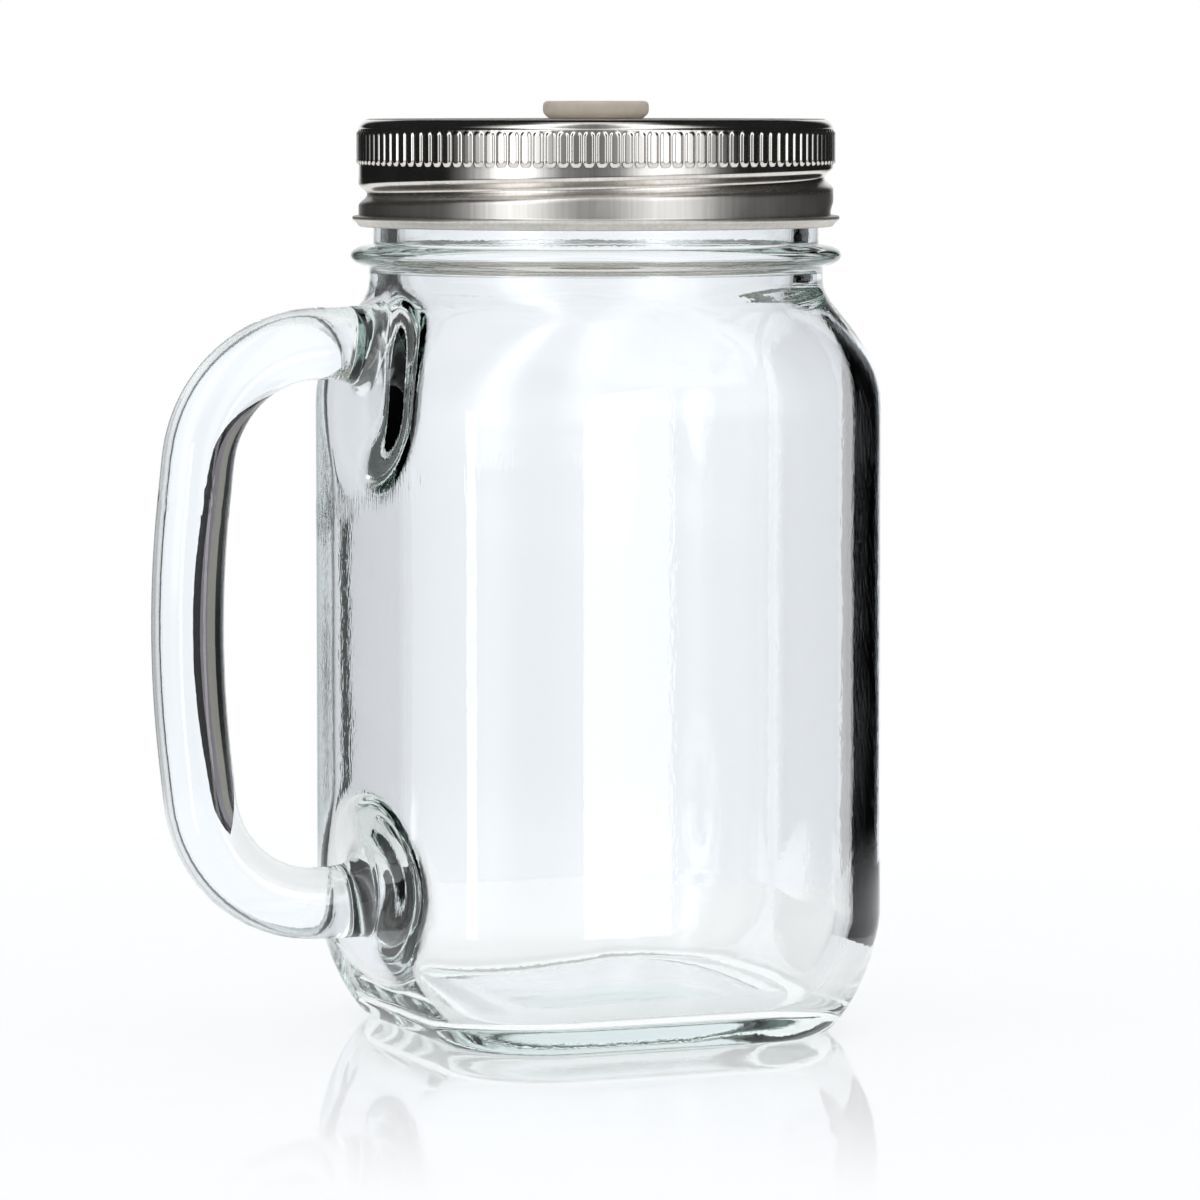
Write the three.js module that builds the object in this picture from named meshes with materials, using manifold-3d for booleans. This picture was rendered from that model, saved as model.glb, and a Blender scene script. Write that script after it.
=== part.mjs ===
// Handled drinking jar: glass jar and handle, steel screw lid, seal ring and straw grommet.
// Millimetres, +Z up. The origin is the middle of the flat base, and the handle points along -X.
import * as THREE from "three";
import { mergeVertices } from "three/addons/utils/BufferGeometryUtils.js";
import Module from "manifold-3d";

// Clearances
const GAP = 0.3; // between pieces that touch on the real jar
const THREAD_PLAY = 0.45; // from the glass thread to the lid, square to the axis
const BEAD_CLEARANCE = 2.75; // from the glass bead up to the lid's lower edge

// Glass jar, from the base up
const BODY_SIDE = 76;
const BODY_CORNER = 22;
const BODY_HEIGHT = 95; // base to the top of the straight walls
const HEEL_HEIGHT = 18;
const HEEL_INSET = 8.5; // how far the flat base lies inside the walls
const HEEL_POWER = 1.5; // 1 is a straight bevel, 2 is an elliptical round
const BASE_CORNER = 14;
const SHOULDER_HEIGHT = 16.5;
const SHOULDER_POWER = 1.15; // above 1 the shoulder eases into the neck
const FINISH_DIAMETER = 67.4; // threaded part of the mouth, at the root of the thread
const FINISH_WALL = 3.7;
const NECK_STEP = 0.6; // how much wider than the finish the neck under the bead is
const NECK_HEIGHT = 3.9;
const BEAD_DEPTH = 2.8;
const BEAD_HEIGHT = 3.2;
const RIM_ROUND = 1.2;
const WALL = 3.2;
const FLOOR = 5;

// Screw thread
const THREAD_PITCH = 5.08;
const THREAD_DEPTH = 1.3;
const THREAD_WIDTH = 3.4; // of the glass ridge, and of the groove rolled into the lid
const THREAD_FADE = THREE.MathUtils.degToRad(40);
const RIDGE_LEAD = 2.9; // from the rim down to the upper end of the glass ridge
const RIDGE_TURNS = 1.4;
const GROOVE_START = THREE.MathUtils.degToRad(-41);
const GROOVE_LOW = 1.95; // from the lid's lower edge up to the lower end of its groove
const GROOVE_HIGH = 1.6; // from the upper end of the groove up to the ribs

// Handle
const HANDLE_DIAMETER = 10.8;
const FINGER_GAP = 20.35; // between the jar's wall and the ends of the handle's upright
const HANDLE_BOW = 1.6;
const HANDLE_DROP = 7.2; // from the neck down to the middle of the upper arm
const HANDLE_LIFT = 2.5; // from the heel up to the middle of the lower arm
const UPPER_BEND = 19;
const LOWER_BEND = 18.3;
const BOSS_FLARE = 2.2; // how much the handle's radius grows where it meets the jar
const BOSS_LENGTH = 8;
const UPPER_BOSS_DROP = 1.2; // both feet of the handle lean towards the finger gap
const LOWER_BOSS_RISE = 2.2;

// Lid
const LID_HEIGHT = 16.15;
const LID_SHEET = 0.4;
const LID_CORNER = 1.8;
const CURL_HEIGHT = 1.6;
const CURL_FLARE = 0.95; // how far the rolled edge stands out from the skirt
const RIB_COUNT = 120;
const RIB_DEPTH = 0.2;
const RIB_TOP = 1.9; // from the lid's top down to the ribs
const RIB_LENGTH = 4.8;
const RIB_ROOT_SHARE = 0.66; // of the rib pitch
const RIB_CREST_SHARE = 0.34;

// Seal ring and grommet
const SEAL_THICKNESS = 1;
const SEAL_OVERHANG = 0.4; // past the glass rim, on both sides
const STRAW_HOLE = 7;
const GROMMET_WALL = 1.7; // round the straw, where the grommet passes through the lid
const FLANGE_REACH = 2.5; // over the edge of the lid's hole
const FLANGE_THICKNESS = 2.4;
const FLANGE_ROUND = 0.8;
const LOWER_FLANGE_REACH = 1.5;
const LOWER_FLANGE_THICKNESS = 1.5;

// Facets
const COLUMNS = 48;
const ROUND_STEPS = 3;
const CURVE_STEPS = 6;
const FINISH_STEPS = 21;
const SKIRT_STEPS = 11;
const HANDLE_SIDES = 14;
const HANDLE_STEPS = 60;
const GROMMET_COLUMNS = 28;
const FULL_TURN = 2 * Math.PI;

// Levels and radii that follow from the sizes above
const SHOULDER_TOP = BODY_HEIGHT + SHOULDER_HEIGHT;
const BEAD_LOW = SHOULDER_TOP + NECK_HEIGHT;
const BEAD_TOP = BEAD_LOW + BEAD_HEIGHT;
const LID_LOW = BEAD_TOP + BEAD_CLEARANCE;
const LID_TOP = LID_LOW + LID_HEIGHT;
const RIB_LOW = LID_TOP - RIB_TOP - RIB_LENGTH;
const LID_INSIDE = LID_TOP - LID_SHEET;
const SEAL_TOP = LID_INSIDE - GAP;
const SEAL_LOW = SEAL_TOP - SEAL_THICKNESS;
const RIM = SEAL_LOW - GAP;
const ROOT_RADIUS = FINISH_DIAMETER / 2;
const CREST_RADIUS = ROOT_RADIUS + THREAD_DEPTH;
const NECK_RADIUS = ROOT_RADIUS + NECK_STEP;
const MOUTH_RADIUS = ROOT_RADIUS - FINISH_WALL;
const SKIRT_INSIDE = CREST_RADIUS + THREAD_PLAY;
const SKIRT_OUTSIDE = SKIRT_INSIDE + LID_SHEET;
const GROMMET_NECK = STRAW_HOLE / 2 + GROMMET_WALL;
const LID_HOLE = GROMMET_NECK + GAP;
const HANDLE_TOP = SHOULDER_TOP - HANDLE_DROP;
const HANDLE_BOTTOM = HEEL_HEIGHT + HANDLE_LIFT;
const HANDLE_REACH = BODY_SIDE / 2 + FINGER_GAP + HANDLE_DIAMETER / 2;

const wasm = await Module();
wasm.setup();

function solidOf(geometry) {
  const bare = new THREE.BufferGeometry().setAttribute("position", geometry.getAttribute("position"));
  const merged = mergeVertices(geometry.index ? bare.setIndex(geometry.index) : bare, 1e-4);
  return new wasm.Manifold(
    new wasm.Mesh({
      numProp: 3,
      vertProperties: merged.getAttribute("position").array,
      triVerts: new Uint32Array(merged.index.array),
    }),
  );
}

function geometryOf(solid) {
  const mesh = solid.getMesh();
  return new THREE.BufferGeometry()
    .setAttribute("position", new THREE.BufferAttribute(mesh.vertProperties, 3))
    .setIndex(new THREE.BufferAttribute(mesh.triVerts, 1));
}

// A closed skin over rings with equal numbers of points. The rings either form a loop, or the first
// and the last ring are capped from their middles.
function skin(rings, { loop = false } = {}) {
  const columns = rings[0].length;
  const points = rings.flat();
  const faces = [];
  const bands = loop ? rings.length : rings.length - 1;
  for (let i = 0; i < bands; i++) {
    const low = i * columns;
    const high = ((i + 1) % rings.length) * columns;
    for (let j = 0; j < columns; j++) {
      const k = (j + 1) % columns;
      faces.push(low + j, low + k, high + k, low + j, high + k, high + j);
    }
  }
  if (!loop) {
    const last = (rings.length - 1) * columns;
    const middle = (ring) => ring.reduce((sum, p) => sum.add(p), new THREE.Vector3()).divideScalar(columns);
    const start = points.push(middle(rings[0])) - 1;
    const end = points.push(middle(rings[rings.length - 1])) - 1;
    for (let j = 0; j < columns; j++) {
      const k = (j + 1) % columns;
      faces.push(start, k, j, end, last + j, last + k);
    }
  }
  return new THREE.BufferGeometry().setFromPoints(points).setIndex(faces);
}

function lathe(profile, columns) {
  const closed = [...profile, profile[0]].map(([r, z]) => new THREE.Vector2(r, z));
  return new THREE.LatheGeometry(closed, columns).rotateX(Math.PI / 2);
}

const range = (count, make) => Array.from({ length: count }, (_, i) => make(i));
const steps = (count, make) => range(count + 1, (i) => make(i / count));
const mix = THREE.MathUtils.lerp;
const smooth = (value) => THREE.MathUtils.smoothstep(value, 0, 1);

// Both threads climb to the right along one screw line, the glass ridge half a thread's width above
// the lid's groove, and fade out at their ends.
const screwLine = (angle) => LID_LOW + GROOVE_LOW + (THREAD_PITCH * (angle - GROOVE_START)) / FULL_TURN;
const GROOVE_TURNS = (RIB_LOW - GROOVE_HIGH - LID_LOW - GROOVE_LOW) / THREAD_PITCH;
const RIDGE_RISE = THREAD_WIDTH / 2;
const RIDGE_END = (FULL_TURN * (RIM - RIDGE_LEAD - RIDGE_RISE - screwLine(0))) / THREAD_PITCH;
const groove = { rise: 0, start: GROOVE_START, turns: GROOVE_TURNS };
const ridge = { rise: RIDGE_RISE, start: RIDGE_END - FULL_TURN * RIDGE_TURNS, turns: RIDGE_TURNS };

// Share of the full thread depth at a place on the jar's finish or on the lid's skirt.
function threadShare({ rise, start, turns }, angle, z) {
  const end = start + FULL_TURN * turns;
  const first = angle + FULL_TURN * Math.ceil((start - angle) / FULL_TURN);
  let share = 0;
  for (let place = first; place < end; place += FULL_TURN) {
    const off = Math.min(1, Math.abs(z - screwLine(place) - rise) / (THREAD_WIDTH / 2));
    const fade = smooth((place - start) / THREAD_FADE) * smooth((end - place) / THREAD_FADE);
    share = Math.max(share, (fade * (1 + Math.cos(Math.PI * off))) / 2);
  }
  return share;
}

// Sections of the jar: a rounded square of a given half side and corner radius, which is a circle
// when the two are equal.
const level = (z, half, corner) => ({ z, half, corner });
const circle = (z, radius) => level(z, radius, radius);
const between = (z, a, b, share) => level(z, mix(a.half, b.half, share), mix(a.corner, b.corner, share));

function reach({ half, corner }, angle) {
  const c = Math.abs(Math.cos(angle));
  const s = Math.abs(Math.sin(angle));
  const flat = half - corner;
  if (half * Math.min(c, s) <= flat * Math.max(c, s)) return half / Math.max(c, s);
  return flat * (c + s) + Math.sqrt(corner ** 2 - (flat * (c - s)) ** 2);
}

function jarRing(section) {
  return range(COLUMNS, (j) => {
    const angle = (FULL_TURN * j) / COLUMNS;
    const bulge = section.threaded ? THREAD_DEPTH * threadShare(ridge, angle, section.z) : 0;
    const r = reach(section, angle) + bulge;
    return new THREE.Vector3(r * Math.cos(angle), r * Math.sin(angle), section.z);
  });
}

// The heel swells from the base to the body, and the shoulder draws the body in to a round neck.
const heelShare = (t) => (1 - (1 - t) ** HEEL_POWER) ** (1 / HEEL_POWER);
const shoulderShare = (t) => Math.max(0, 1 - t ** 2) ** SHOULDER_POWER;

function heel(base, body) {
  return steps(CURVE_STEPS, (t) => between(mix(base.z, body.z, t ** 2), base, body, heelShare(t ** 2)));
}

function shoulder(low, high, body, neckRadius) {
  const neck = circle(high, neckRadius);
  return steps(CURVE_STEPS, (t) => between(mix(low, high, t), neck, body, shoulderShare(t)));
}

function outerSections(grow) {
  const base = level(-grow, BODY_SIDE / 2 - HEEL_INSET + grow, BASE_CORNER + grow);
  const body = level(HEEL_HEIGHT, BODY_SIDE / 2 + grow, BODY_CORNER + grow);
  return [
    ...heel(base, body),
    ...shoulder(BODY_HEIGHT, SHOULDER_TOP, body, NECK_RADIUS + grow),
    circle(BEAD_LOW, NECK_RADIUS + grow),
  ];
}

function beadSections() {
  const middle = (BEAD_LOW + BEAD_TOP) / 2;
  return steps(CURVE_STEPS, (t) => {
    const angle = Math.PI * (t - 0.5);
    const foot = mix(NECK_RADIUS, ROOT_RADIUS, t);
    const radius = foot + (NECK_RADIUS + BEAD_DEPTH - foot) * Math.cos(angle);
    return circle(middle + (BEAD_HEIGHT / 2) * Math.sin(angle), radius);
  }).slice(1);
}

function finishSections() {
  return steps(FINISH_STEPS, (t) => ({
    ...circle(mix(BEAD_TOP, RIM - RIM_ROUND, t), ROOT_RADIUS),
    threaded: true,
  })).slice(1, -1);
}

function rimSections() {
  const outer = steps(ROUND_STEPS, (t) => {
    const angle = (Math.PI / 2) * t;
    const radius = ROOT_RADIUS - RIM_ROUND * (1 - Math.cos(angle));
    return circle(RIM - RIM_ROUND * (1 - Math.sin(angle)), radius);
  });
  const inner = steps(ROUND_STEPS, (t) => {
    const angle = (Math.PI / 2) * t;
    const radius = MOUTH_RADIUS + RIM_ROUND * (1 - Math.sin(angle));
    return circle(RIM - RIM_ROUND * (1 - Math.cos(angle)), radius);
  });
  return [...outer, ...inner];
}

function innerSections() {
  const base = level(FLOOR, BODY_SIDE / 2 - HEEL_INSET - WALL / 2, BASE_CORNER - WALL / 2);
  const body = level(HEEL_HEIGHT, BODY_SIDE / 2 - WALL, BODY_CORNER - WALL);
  return [
    ...shoulder(BODY_HEIGHT - WALL, SHOULDER_TOP - WALL / 2, body, MOUTH_RADIUS).reverse(),
    ...heel(base, body).reverse(),
  ];
}

function jarBody() {
  const outside = [...outerSections(0), ...beadSections(), ...finishSections()];
  const sections = [...outside, ...rimSections(), ...innerSections()];
  return skin(sections.map(jarRing));
}

// The handle's centre line, in the plane of the jar's axis: out, down the bowed upright and back.
function handlePath() {
  const path = new THREE.Path();
  const inside = -MOUTH_RADIUS;
  const upper = HANDLE_REACH - UPPER_BEND;
  const lower = HANDLE_REACH - LOWER_BEND;
  path.moveTo(inside, HANDLE_TOP);
  path.lineTo(-upper, HANDLE_TOP);
  path.absarc(-upper, HANDLE_TOP - UPPER_BEND, UPPER_BEND, Math.PI / 2, Math.PI, false);
  path.quadraticCurveTo(
    -HANDLE_REACH - 2 * HANDLE_BOW,
    (HANDLE_TOP - UPPER_BEND + HANDLE_BOTTOM + LOWER_BEND) / 2,
    -HANDLE_REACH,
    HANDLE_BOTTOM + LOWER_BEND,
  );
  path.absarc(-lower, HANDLE_BOTTOM + LOWER_BEND, LOWER_BEND, Math.PI, 1.5 * Math.PI, false);
  path.lineTo(inside, HANDLE_BOTTOM);
  return path;
}

function handle() {
  const path = handlePath();
  const points = path.getSpacedPoints(HANDLE_STEPS);
  const rings = points.map((point, i) => {
    const along = path.getTangentAt(i / HANDLE_STEPS);
    const fromJar = THREE.MathUtils.clamp((-point.x - BODY_SIDE / 2) / BOSS_LENGTH, 0, 1);
    const flare = (1 - fromJar) ** 2;
    const lean = i < HANDLE_STEPS / 2 ? -UPPER_BOSS_DROP : LOWER_BOSS_RISE;
    const radius = HANDLE_DIAMETER / 2 + BOSS_FLARE * flare;
    return range(HANDLE_SIDES, (j) => {
      const angle = (FULL_TURN * j) / HANDLE_SIDES;
      const across = radius * Math.cos(angle);
      return new THREE.Vector3(
        point.x + along.y * across,
        radius * Math.sin(angle),
        point.y + lean * flare - along.x * across,
      );
    });
  });
  const jarWithGap = skin(outerSections(GAP).map(jarRing));
  return geometryOf(solidOf(skin(rings)).subtract(solidOf(jarWithGap)));
}

function lidRing(radius, z, rolled) {
  return range(COLUMNS, (j) => {
    const angle = (FULL_TURN * j) / COLUMNS;
    const r = rolled ? radius - THREAD_DEPTH * threadShare(groove, angle, z) : radius;
    return new THREE.Vector3(r * Math.cos(angle), r * Math.sin(angle), z);
  });
}

function lidCorner(radius, top, round) {
  return steps(ROUND_STEPS, (t) => {
    const angle = (Math.PI / 2) * t;
    return lidRing(radius - round * (1 - Math.cos(angle)), top - round * (1 - Math.sin(angle)), false);
  });
}

function lidSheet() {
  const curl = steps(ROUND_STEPS, (t) => {
    const angle = Math.PI * (t - 0.5);
    const out = CURL_FLARE + LID_SHEET;
    const z = LID_LOW + (CURL_HEIGHT / 2) * (1 + Math.sin(angle));
    return lidRing(SKIRT_INSIDE + out * (0.5 + 0.5 * Math.cos(angle)), z, false);
  }).slice(0, -1);
  const skirtLow = LID_LOW + CURL_HEIGHT;
  const skirtHigh = RIB_LOW - GAP;
  const outside = steps(SKIRT_STEPS, (t) => lidRing(SKIRT_OUTSIDE, mix(skirtLow, skirtHigh, t), true));
  const inside = steps(SKIRT_STEPS, (t) => lidRing(SKIRT_INSIDE, mix(skirtHigh, skirtLow, t), true));
  const insideCorner = lidCorner(SKIRT_INSIDE, LID_INSIDE, LID_CORNER - LID_SHEET).reverse();
  return skin(
    [
      lidRing(SKIRT_INSIDE, LID_LOW, false),
      ...curl,
      ...outside,
      ...lidCorner(SKIRT_OUTSIDE, LID_TOP, LID_CORNER),
      lidRing(LID_HOLE, LID_TOP, false),
      lidRing(LID_HOLE, LID_INSIDE, false),
      ...insideCorner,
      ...inside,
    ],
    { loop: true },
  );
}

function ribBand() {
  const pitch = FULL_TURN / RIB_COUNT;
  const root = SKIRT_OUTSIDE - LID_SHEET / 4;
  const crest = SKIRT_OUTSIDE + RIB_DEPTH;
  const corners = range(RIB_COUNT, (i) => [
    [root, (i - RIB_ROOT_SHARE / 2) * pitch],
    [crest, (i - RIB_CREST_SHARE / 2) * pitch],
    [crest, (i + RIB_CREST_SHARE / 2) * pitch],
    [root, (i + RIB_ROOT_SHARE / 2) * pitch],
  ]).flat();
  const outline = corners.map(([r, angle]) => new THREE.Vector2(r * Math.cos(angle), r * Math.sin(angle)));
  const band = new THREE.Shape(outline);
  band.holes.push(new THREE.Path().absarc(0, 0, SKIRT_OUTSIDE - LID_SHEET / 2, 0, FULL_TURN, true));
  return new THREE.ExtrudeGeometry(band, {
    depth: RIB_LENGTH,
    bevelEnabled: false,
    curveSegments: COLUMNS,
  }).translate(0, 0, RIB_LOW);
}

function lidShell() {
  return geometryOf(solidOf(lidSheet()).add(solidOf(ribBand())));
}

function sealRing() {
  const inner = MOUTH_RADIUS - SEAL_OVERHANG;
  const outer = ROOT_RADIUS + SEAL_OVERHANG;
  const profile = [
    [inner, SEAL_LOW],
    [outer, SEAL_LOW],
    [outer, SEAL_TOP],
    [inner, SEAL_TOP],
  ];
  return lathe(profile, COLUMNS);
}

// The grommet is pushed through the lid's hole, with a flange on each side of the sheet.
function strawGrommet() {
  const hole = STRAW_HOLE / 2;
  const upper = LID_HOLE + FLANGE_REACH;
  const lower = LID_HOLE + LOWER_FLANGE_REACH;
  const low = LID_INSIDE - GAP - LOWER_FLANGE_THICKNESS;
  const top = LID_TOP + GAP + FLANGE_THICKNESS;
  const rounded = steps(ROUND_STEPS, (t) => {
    const angle = (Math.PI / 2) * t;
    return [upper - FLANGE_ROUND * (1 - Math.cos(angle)), top - FLANGE_ROUND * (1 - Math.sin(angle))];
  });
  const profile = [
    [hole, low],
    [lower, low],
    [lower, LID_INSIDE - GAP],
    [GROMMET_NECK, LID_INSIDE - GAP],
    [GROMMET_NECK, LID_TOP + GAP],
    [upper, LID_TOP + GAP],
    ...rounded,
    [hole, top],
  ];
  return lathe(profile, GROMMET_COLUMNS);
}

const glass = { color: 0xdfe8e4, roughness: 0.03, metalness: 0 };
const steel = { color: 0xb9b8b5, roughness: 0.32, metalness: 1 };
const rubber = { color: 0xe9e7e1, roughness: 0.6, metalness: 0 };
const silicone = { color: 0xcfc8ba, roughness: 0.5, metalness: 0 };

function piece(name, geometry, look) {
  const flat = geometry.index ? geometry.toNonIndexed() : geometry;
  flat.computeVertexNormals();
  const mesh = new THREE.Mesh(flat, new THREE.MeshStandardMaterial(look));
  mesh.name = name;
  return mesh;
}

const jar = new THREE.Group();
jar.add(
  piece("jar_body", jarBody(), glass),
  piece("handle", handle(), glass),
  piece("lid_gasket", sealRing(), rubber),
  piece("lid_shell", lidShell(), steel),
  piece("straw_grommet", strawGrommet(), silicone),
);

export default jar;
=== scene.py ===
"""Looks of a handled drinking jar: glass jar and handle, steel screw lid, seal ring and straw grommet."""
import math

import bmesh
import bpy
import numpy as np
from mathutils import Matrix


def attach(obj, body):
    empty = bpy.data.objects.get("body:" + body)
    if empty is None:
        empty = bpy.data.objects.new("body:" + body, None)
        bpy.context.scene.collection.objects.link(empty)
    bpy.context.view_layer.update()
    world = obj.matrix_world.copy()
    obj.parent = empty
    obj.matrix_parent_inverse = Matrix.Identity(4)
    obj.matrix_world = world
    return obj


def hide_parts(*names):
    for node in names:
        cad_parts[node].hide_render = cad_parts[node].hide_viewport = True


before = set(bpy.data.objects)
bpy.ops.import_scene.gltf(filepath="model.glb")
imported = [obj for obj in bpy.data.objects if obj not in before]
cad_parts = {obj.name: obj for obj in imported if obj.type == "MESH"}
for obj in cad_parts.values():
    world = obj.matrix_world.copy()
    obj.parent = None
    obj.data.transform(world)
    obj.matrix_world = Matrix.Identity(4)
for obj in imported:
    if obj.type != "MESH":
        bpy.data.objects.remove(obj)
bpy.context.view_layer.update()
scene = bpy.context.scene

MM = 0.001
FULL_TURN = 2 * math.pi

# Sizes in millimetres, as in the CAD source: clearances
GAP = 0.3
THREAD_PLAY = 0.45
BEAD_CLEARANCE = 2.75

# Glass jar
BODY_HALF = 38.0
BODY_CORNER = 22.0
BODY_HEIGHT = 95.0
HEEL_HEIGHT = 18.0
HEEL_INSET = 8.5
HEEL_POWER = 1.5
BASE_CORNER = 14.0
SHOULDER_HEIGHT = 16.5
SHOULDER_POWER = 1.15
ROOT_RADIUS = 33.7
FINISH_WALL = 3.7
NECK_STEP = 0.6
NECK_HEIGHT = 3.9
BEAD_DEPTH = 2.8
BEAD_HEIGHT = 3.2
RIM_ROUND = 1.2
WALL = 3.2
FLOOR = 5.0

# Thread
THREAD_PITCH = 5.08
THREAD_DEPTH = 1.3
THREAD_WIDTH = 3.4
THREAD_FADE = math.radians(40)
RIDGE_LEAD = 2.9
RIDGE_TURNS = 1.4
GROOVE_START = math.radians(-41)
GROOVE_LOW = 1.95
GROOVE_HIGH = 1.6

# Handle
HANDLE_RADIUS = 5.4
FINGER_GAP = 20.35
HANDLE_BOW = 1.6
HANDLE_DROP = 7.2
HANDLE_LIFT = 2.5
UPPER_BEND = 19.0
LOWER_BEND = 18.3
BOSS_FLARE = 2.2
UPPER_BOSS_DROP = 1.2
LOWER_BOSS_RISE = 2.2

# Lid
LID_HEIGHT = 16.15
LID_SHEET = 0.4
LID_CORNER = 1.8
CURL_HEIGHT = 1.6
CURL_FLARE = 0.95
CURL_NOSE = 0.35
CURL_RISE = 0.9
CURL_EDGE = 0.3
RIB_COUNT = 120
RIB_TOP = 1.9
RIB_LENGTH = 4.8

# Seal ring and grommet
SEAL_THICKNESS = 1.0
SEAL_OVERHANG = 0.4
STRAW_HOLE = 3.5
GROMMET_WALL = 1.7
FLANGE_REACH = 2.5
FLANGE_THICKNESS = 2.4
LOWER_FLANGE_REACH = 1.5
LOWER_FLANGE_THICKNESS = 1.5

# Places that follow from the sizes
SHOULDER_TOP = BODY_HEIGHT + SHOULDER_HEIGHT
BEAD_LOW = SHOULDER_TOP + NECK_HEIGHT
BEAD_TOP = BEAD_LOW + BEAD_HEIGHT
LID_LOW = BEAD_TOP + BEAD_CLEARANCE
LID_TOP = LID_LOW + LID_HEIGHT
RIB_LOW = LID_TOP - RIB_TOP - RIB_LENGTH
RIB_HIGH = LID_TOP - RIB_TOP
LID_INSIDE = LID_TOP - LID_SHEET
SEAL_TOP = LID_INSIDE - GAP
SEAL_LOW = SEAL_TOP - SEAL_THICKNESS
RIM = SEAL_LOW - GAP
CREST_RADIUS = ROOT_RADIUS + THREAD_DEPTH
NECK_RADIUS = ROOT_RADIUS + NECK_STEP
MOUTH_RADIUS = ROOT_RADIUS - FINISH_WALL
SKIRT_INSIDE = CREST_RADIUS + THREAD_PLAY
SKIRT_OUTSIDE = SKIRT_INSIDE + LID_SHEET
GROMMET_NECK = STRAW_HOLE + GROMMET_WALL
LID_HOLE = GROMMET_NECK + GAP
HANDLE_TOP = SHOULDER_TOP - HANDLE_DROP
HANDLE_BOTTOM = HEEL_HEIGHT + HANDLE_LIFT
HANDLE_REACH = BODY_HALF + FINGER_GAP + HANDLE_RADIUS

# Forms that only the looks have, in millimetres where the comment names no share or angle
FOOT_HALF = 9.1  # half the side of the square that a foot of the handle takes out of the wall
FILLET_END = 44.0  # distance from the axis at which the handle's plain tube starts
INNER_CORNER = 20.9  # inner corners, wider on the handle's side than on the other
INNER_CORNER_SWING = 0.6
SHOULDER_SOFT = 0.15  # share of the shoulder over which it runs softly into the neck
SOFT_SHIFTS = np.linspace(-0.9, 0.9, 7)  # shares of that run, over which the profile is averaged
LUMP_DEPTH = 4.2  # lumps inside the wall, behind the feet of the handle
LUMP_FLAT = 0.15  # share of a lump that is flat
UPPER_LUMP = (20.0, 17.0, -7.0)  # half width, half height and rise over the foot's middle
LOWER_LUMP = (23.0, 15.0, 0.0)
BASE_HOLLOW = 0.9  # under the base
HOLLOW_EDGE = 0.86  # share of the way out at which the hollow ends
HOLLOW_RUN = 0.25  # share over which it comes in
FLOOR_DOME = 0.8  # rise of the floor inside
DOME_RUN = 0.8
RIPPLES = ((0.020, 41, 2, 0.4), (0.012, 23, -3, 1.3), (0.006, 13, 7, 0.0))  # depth, length, waves, start
RIPPLE_TOP = 8.0  # even height under the rim
RIPPLE_FADE_TOP = 15.0
RIPPLE_FADE_LOW = 10.0
RIB_RISE = 0.28
RIB_HALF = 0.64
RIB_ROUND = 0.5
RIB_SPREAD = 0.12  # how far a rib's flank runs out past its pill shape
RIB_FLANK = 0.26
NOSE_START = -0.9  # angle at which the rolled curl starts
SKIRT_END = 0.5  # from the skirt's last row up to the ribs
RIB_ROWS_LEAD = 0.2
RIB_ROWS_PAST = 0.45
LID_CORNER_START = 0.2  # angle at which the lid's corner leaves the ribs
SEAL_ROUND = 0.25
GROMMET_TOUCH = 0.02  # between the grommet and the steel
FLANGE_CHAMFER = 0.9

# Rows and columns of the meshes
COLUMNS = 240
FOOT_COLUMNS = 18  # columns and rows that each foot of the handle takes out of the wall
FOOT_RINGS = 4
FILLET_RINGS = 14
HEEL_ROWS = 18
WALL_ROWS = 46
NECK_ROWS = 4
BEAD_ROWS = 17
FINISH_ROWS = 40
RIM_ROWS = 6
INSIDE_ROWS = 96
INSIDE_HEEL_ROWS = 24
FLOOR_RINGS = 16
LAST_RING = 0.1  # share of the way out of the last ring, round the middle
PATH_POINTS = 60  # on each part of the handle's line
PATH_LEAD = 25.0
PATH_STEP = 0.25
PATH_EASE = 20  # points to each side over which the line is evened out
TUBE_STEP = 1.1
CURL_ROWS = 5
NOSE_ROWS = 9
SKIRT_ROWS = 34
RIB_COLUMNS = 14
RIB_ROWS = 28
LID_CORNER_ROWS = 9
LID_TOP_RINGS = 12
LID_INSIDE_RINGS = 6
SEAL_COLUMNS = 180
GROMMET_COLUMNS = 96
FLOOR_SIDES = 96


def mix(a, b, t):
    return a + (b - a) * t


def smooth(value):
    value = np.clip(value, 0, 1)
    return value * value * (3 - 2 * value)


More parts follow.
